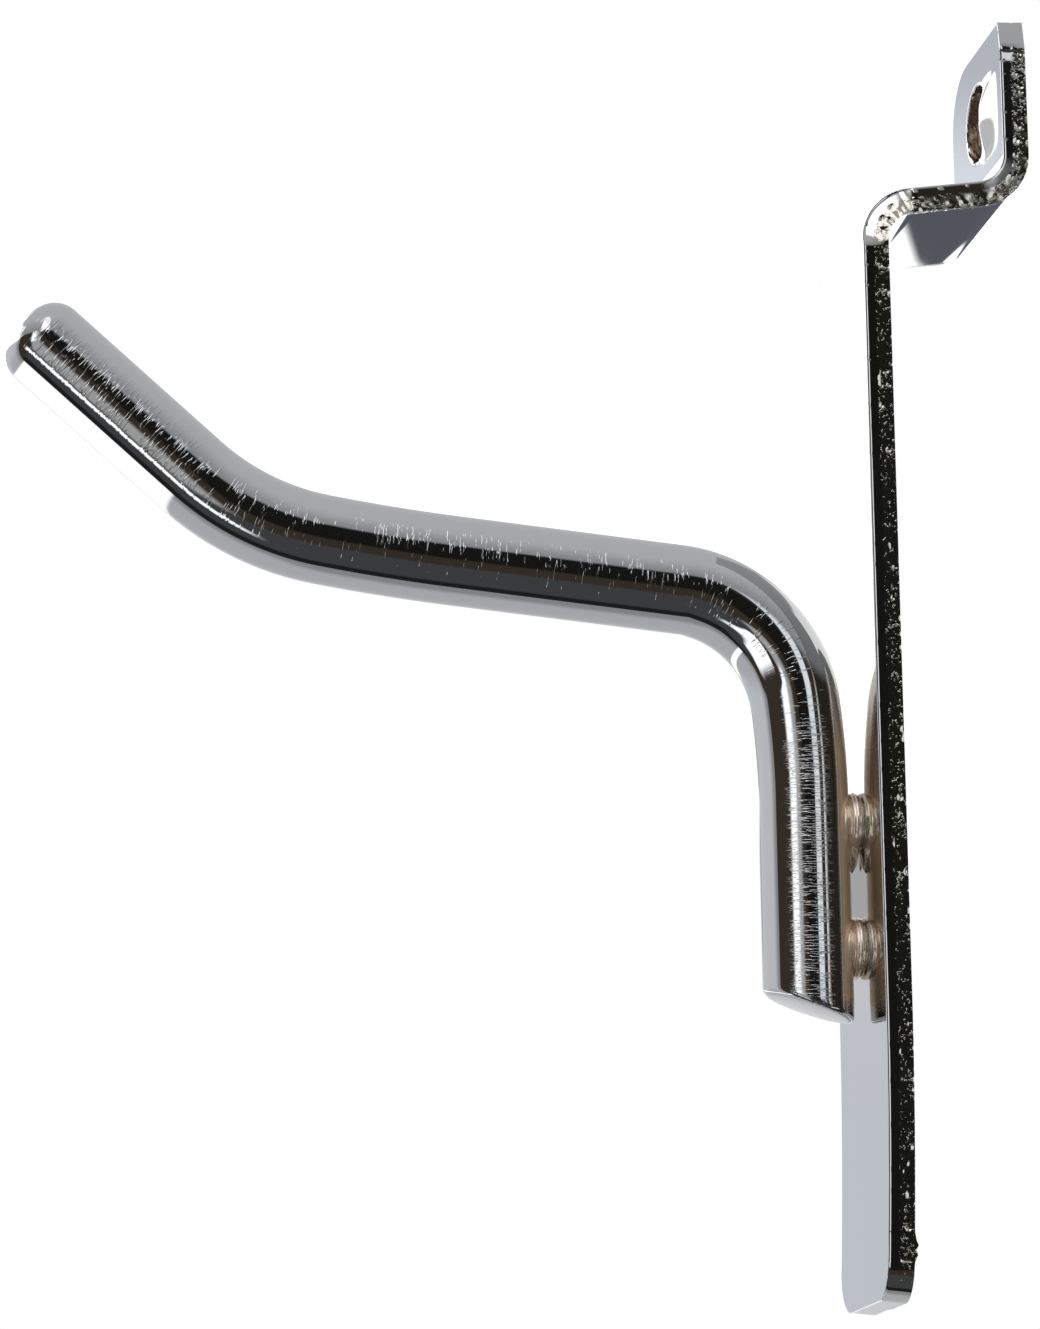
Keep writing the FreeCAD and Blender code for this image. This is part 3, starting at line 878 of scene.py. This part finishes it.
def add_tongue_shade(tree, so_far, az, el):
    """The shaded strip of the sheet behind that the tongue's front shows, darker upwards."""
    shade = ramp(tree, el, 18.9, 20.6, (1.02, 1.06, 1.18, 1.0), (0.66, 0.68, 0.76, 1.0))
    wide = between(tree, az, -165.35, -162.2, 0.2)
    tall = between(tree, el, 18.4, 23.0, 0.2)
    mask = node(tree, "ShaderNodeMath", {0: wide, 1: tall}, operation="MULTIPLY")
    return node(tree, "ShaderNodeMix", {0: mask, 6: so_far, 7: shade}, output=2, data_type="RGBA")


def add_tip_card(tree, so_far, way, x, el):
    """A white card square to the tip: the tip's lower side shows it, and so loses its outline."""
    tip = math.radians(TIP_ANGLE)
    square_to_tip = node(tree, "ShaderNodeVectorMath", {0: way, 1: (0.0, -math.cos(tip), math.sin(tip))},
                         output="Value", operation="DOT_PRODUCT")
    card = between(tree, square_to_tip, 0.095, 0.178, 0.012)
    behind = node(tree, "ShaderNodeMapRange", {"Value": x, "From Min": 0.02, "From Max": 0.05, "To Min": 1.0,
                                               "To Max": 0.0})
    card = node(tree, "ShaderNodeMath", {0: card, 1: behind}, operation="MULTIPLY")
    low = node(tree, "ShaderNodeMapRange", {"Value": el, "From Min": -5.0, "From Max": 4.0, "To Min": 1.0,
                                            "To Max": 0.0})
    card = node(tree, "ShaderNodeMath", {0: card, 1: low}, operation="MULTIPLY")
    return node(tree, "ShaderNodeMix", {0: card, 6: so_far, 7: (*WHITE, 1.0)}, output=2, data_type="RGBA")


def add_ledge_board(tree, so_far, az, el):
    """A white sheet behind the plate, and on it a dark board with a curved side: the ledge's underside shows
    them. The board's side is a parabola in the degrees below 1.5, and stops at azimuth 160.8."""
    colour = add_panel(tree, so_far, az, el, LEDGE_SHEET)
    down = node(tree, "ShaderNodeMath", {0: 1.5, 1: el}, operation="SUBTRACT")
    side = node(tree, "ShaderNodeMath", {0: down, 1: 0.02642, 2: -0.0926}, operation="MULTIPLY_ADD")
    side = node(tree, "ShaderNodeMath", {0: down, 1: side, 2: 156.3}, operation="MULTIPLY_ADD")
    side = node(tree, "ShaderNodeMath", {0: side, 1: 160.8}, operation="MINIMUM")
    inside = node(tree, "ShaderNodeMath", {0: side, 1: az}, operation="SUBTRACT")
    return add_panel(tree, colour, inside, el, LEDGE_BOARD)


def world_light():
    """A pale tent over and behind the hook, a dark room in front of it, and lit and dark panels in both. The
    camera sees plain white."""
    world = bpy.data.worlds.new("studio")
    bpy.context.scene.world = world
    world.use_nodes = True
    tree = world.node_tree
    tree.nodes.clear()
    way = node(tree, "ShaderNodeTexCoord", output="Generated")
    x, y, z = [node(tree, "ShaderNodeSeparateXYZ", {0: way}, output=i) for i in range(3)]
    az = node(tree, "ShaderNodeMath", {0: y, 1: x}, operation="ARCTAN2")
    az = node(tree, "ShaderNodeMath", {0: az, 1: 180 / math.pi}, operation="MULTIPLY")
    el = node(tree, "ShaderNodeMath", {0: z}, operation="ARCSINE")
    el = node(tree, "ShaderNodeMath", {0: el, 1: 180 / math.pi}, operation="MULTIPLY")

    tent = tent_colour(tree, x, el)
    room = room_colour(tree, x, az, el)
    colour = node(tree, "ShaderNodeMix", {0: in_front(tree, x, el), 6: tent, 7: room}, output=2,
                  data_type="RGBA")
    for panel in TENT_PANELS:
        colour = add_panel(tree, colour, az, el, panel)
    colour = add_tongue_shade(tree, colour, az, el)
    colour = add_tip_card(tree, colour, way, x, el)
    colour = add_ledge_board(tree, colour, az, el)

    # The camera sees white, mirrors show the studio, and plain light comes from all round
    from_camera = node(tree, "ShaderNodeLightPath", output="Is Camera Ray")
    glossy = node(tree, "ShaderNodeLightPath", output="Is Glossy Ray")
    through_glass = node(tree, "ShaderNodeLightPath", output="Is Transmission Ray")
    mirrored = node(tree, "ShaderNodeMath", {0: glossy, 1: through_glass}, operation="MAXIMUM")
    plain = node(tree, "ShaderNodeMix", {0: from_camera, 6: (0.9, 0.9, 0.9, 1.0), 7: (1.0, 1.0, 1.0, 1.0)},
                 output=2, data_type="RGBA")
    final = node(tree, "ShaderNodeMix", {0: mirrored, 6: plain, 7: colour}, output=2, data_type="RGBA")
    light = node(tree, "ShaderNodeBackground", {"Color": final, "Strength": 1.0})
    node(tree, "ShaderNodeOutputWorld", {"Surface": light})


weld = weld_material()
for name, (height, flash) in WELDS.items():
    piece = make_weld(name, height, flash)
    piece.data.materials.append(weld)
    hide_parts(name)
    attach(piece, "root")

back_plate = make_back_plate()
back_plate.data.materials.append(strip_material())
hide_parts("back_plate")
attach(back_plate, "root")

hook_rod = make_hook_rod()
hook_rod.data.materials.append(wire_material())
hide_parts("hook_rod")
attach(hook_rod, "root")

world_light()

# The floor, well below the hook, which hangs free
FLOOR_BELOW_FOOT = 55.0
bpy.ops.object.select_all(action="DESELECT")
bpy.ops.mesh.primitive_plane_add(size=3.0, location=(0, 0, 0))
floor = bpy.context.object
floor.name = "floor"
bpy.ops.object.mode_set(mode="EDIT")
bpy.ops.mesh.select_all(action="SELECT")
bpy.ops.transform.translate(value=(0, 0, (FOOT_Z - FLOOR_BELOW_FOOT) * MM))
bpy.ops.object.mode_set(mode="OBJECT")
floor.data.materials.append(floor_material())
floor.visible_glossy = False

# The camera stands to the right of the hook and below it, and looks up at the hook's middle, so that the
# views from other sides keep the hook in the frame. The angles are turns from looking straight along -X, in
# radians
IMAGE_H = 1329
FOCAL_PX = 4770.0
YAW, PITCH, ROLL = 0.1700, 0.2355, -0.012
cam_data = bpy.data.cameras.new("camera")
cam_data.sensor_width = 36.0
cam_data.lens = FOCAL_PX / IMAGE_H * cam_data.sensor_width
cam_data.clip_start = 0.01
camera = bpy.data.objects.new("camera", cam_data)
bpy.context.collection.objects.link(camera)
camera.location = (0.3028, -0.07634, -0.07697)
camera.rotation_mode = "QUATERNION"
camera.rotation_quaternion = (Euler((math.pi / 2 + PITCH, 0, math.pi / 2 - YAW)).to_quaternion()
                              @ Quaternion((0, 0, 1), ROLL))
bpy.context.scene.camera = camera
bpy.context.scene.view_settings.view_transform = "Standard"
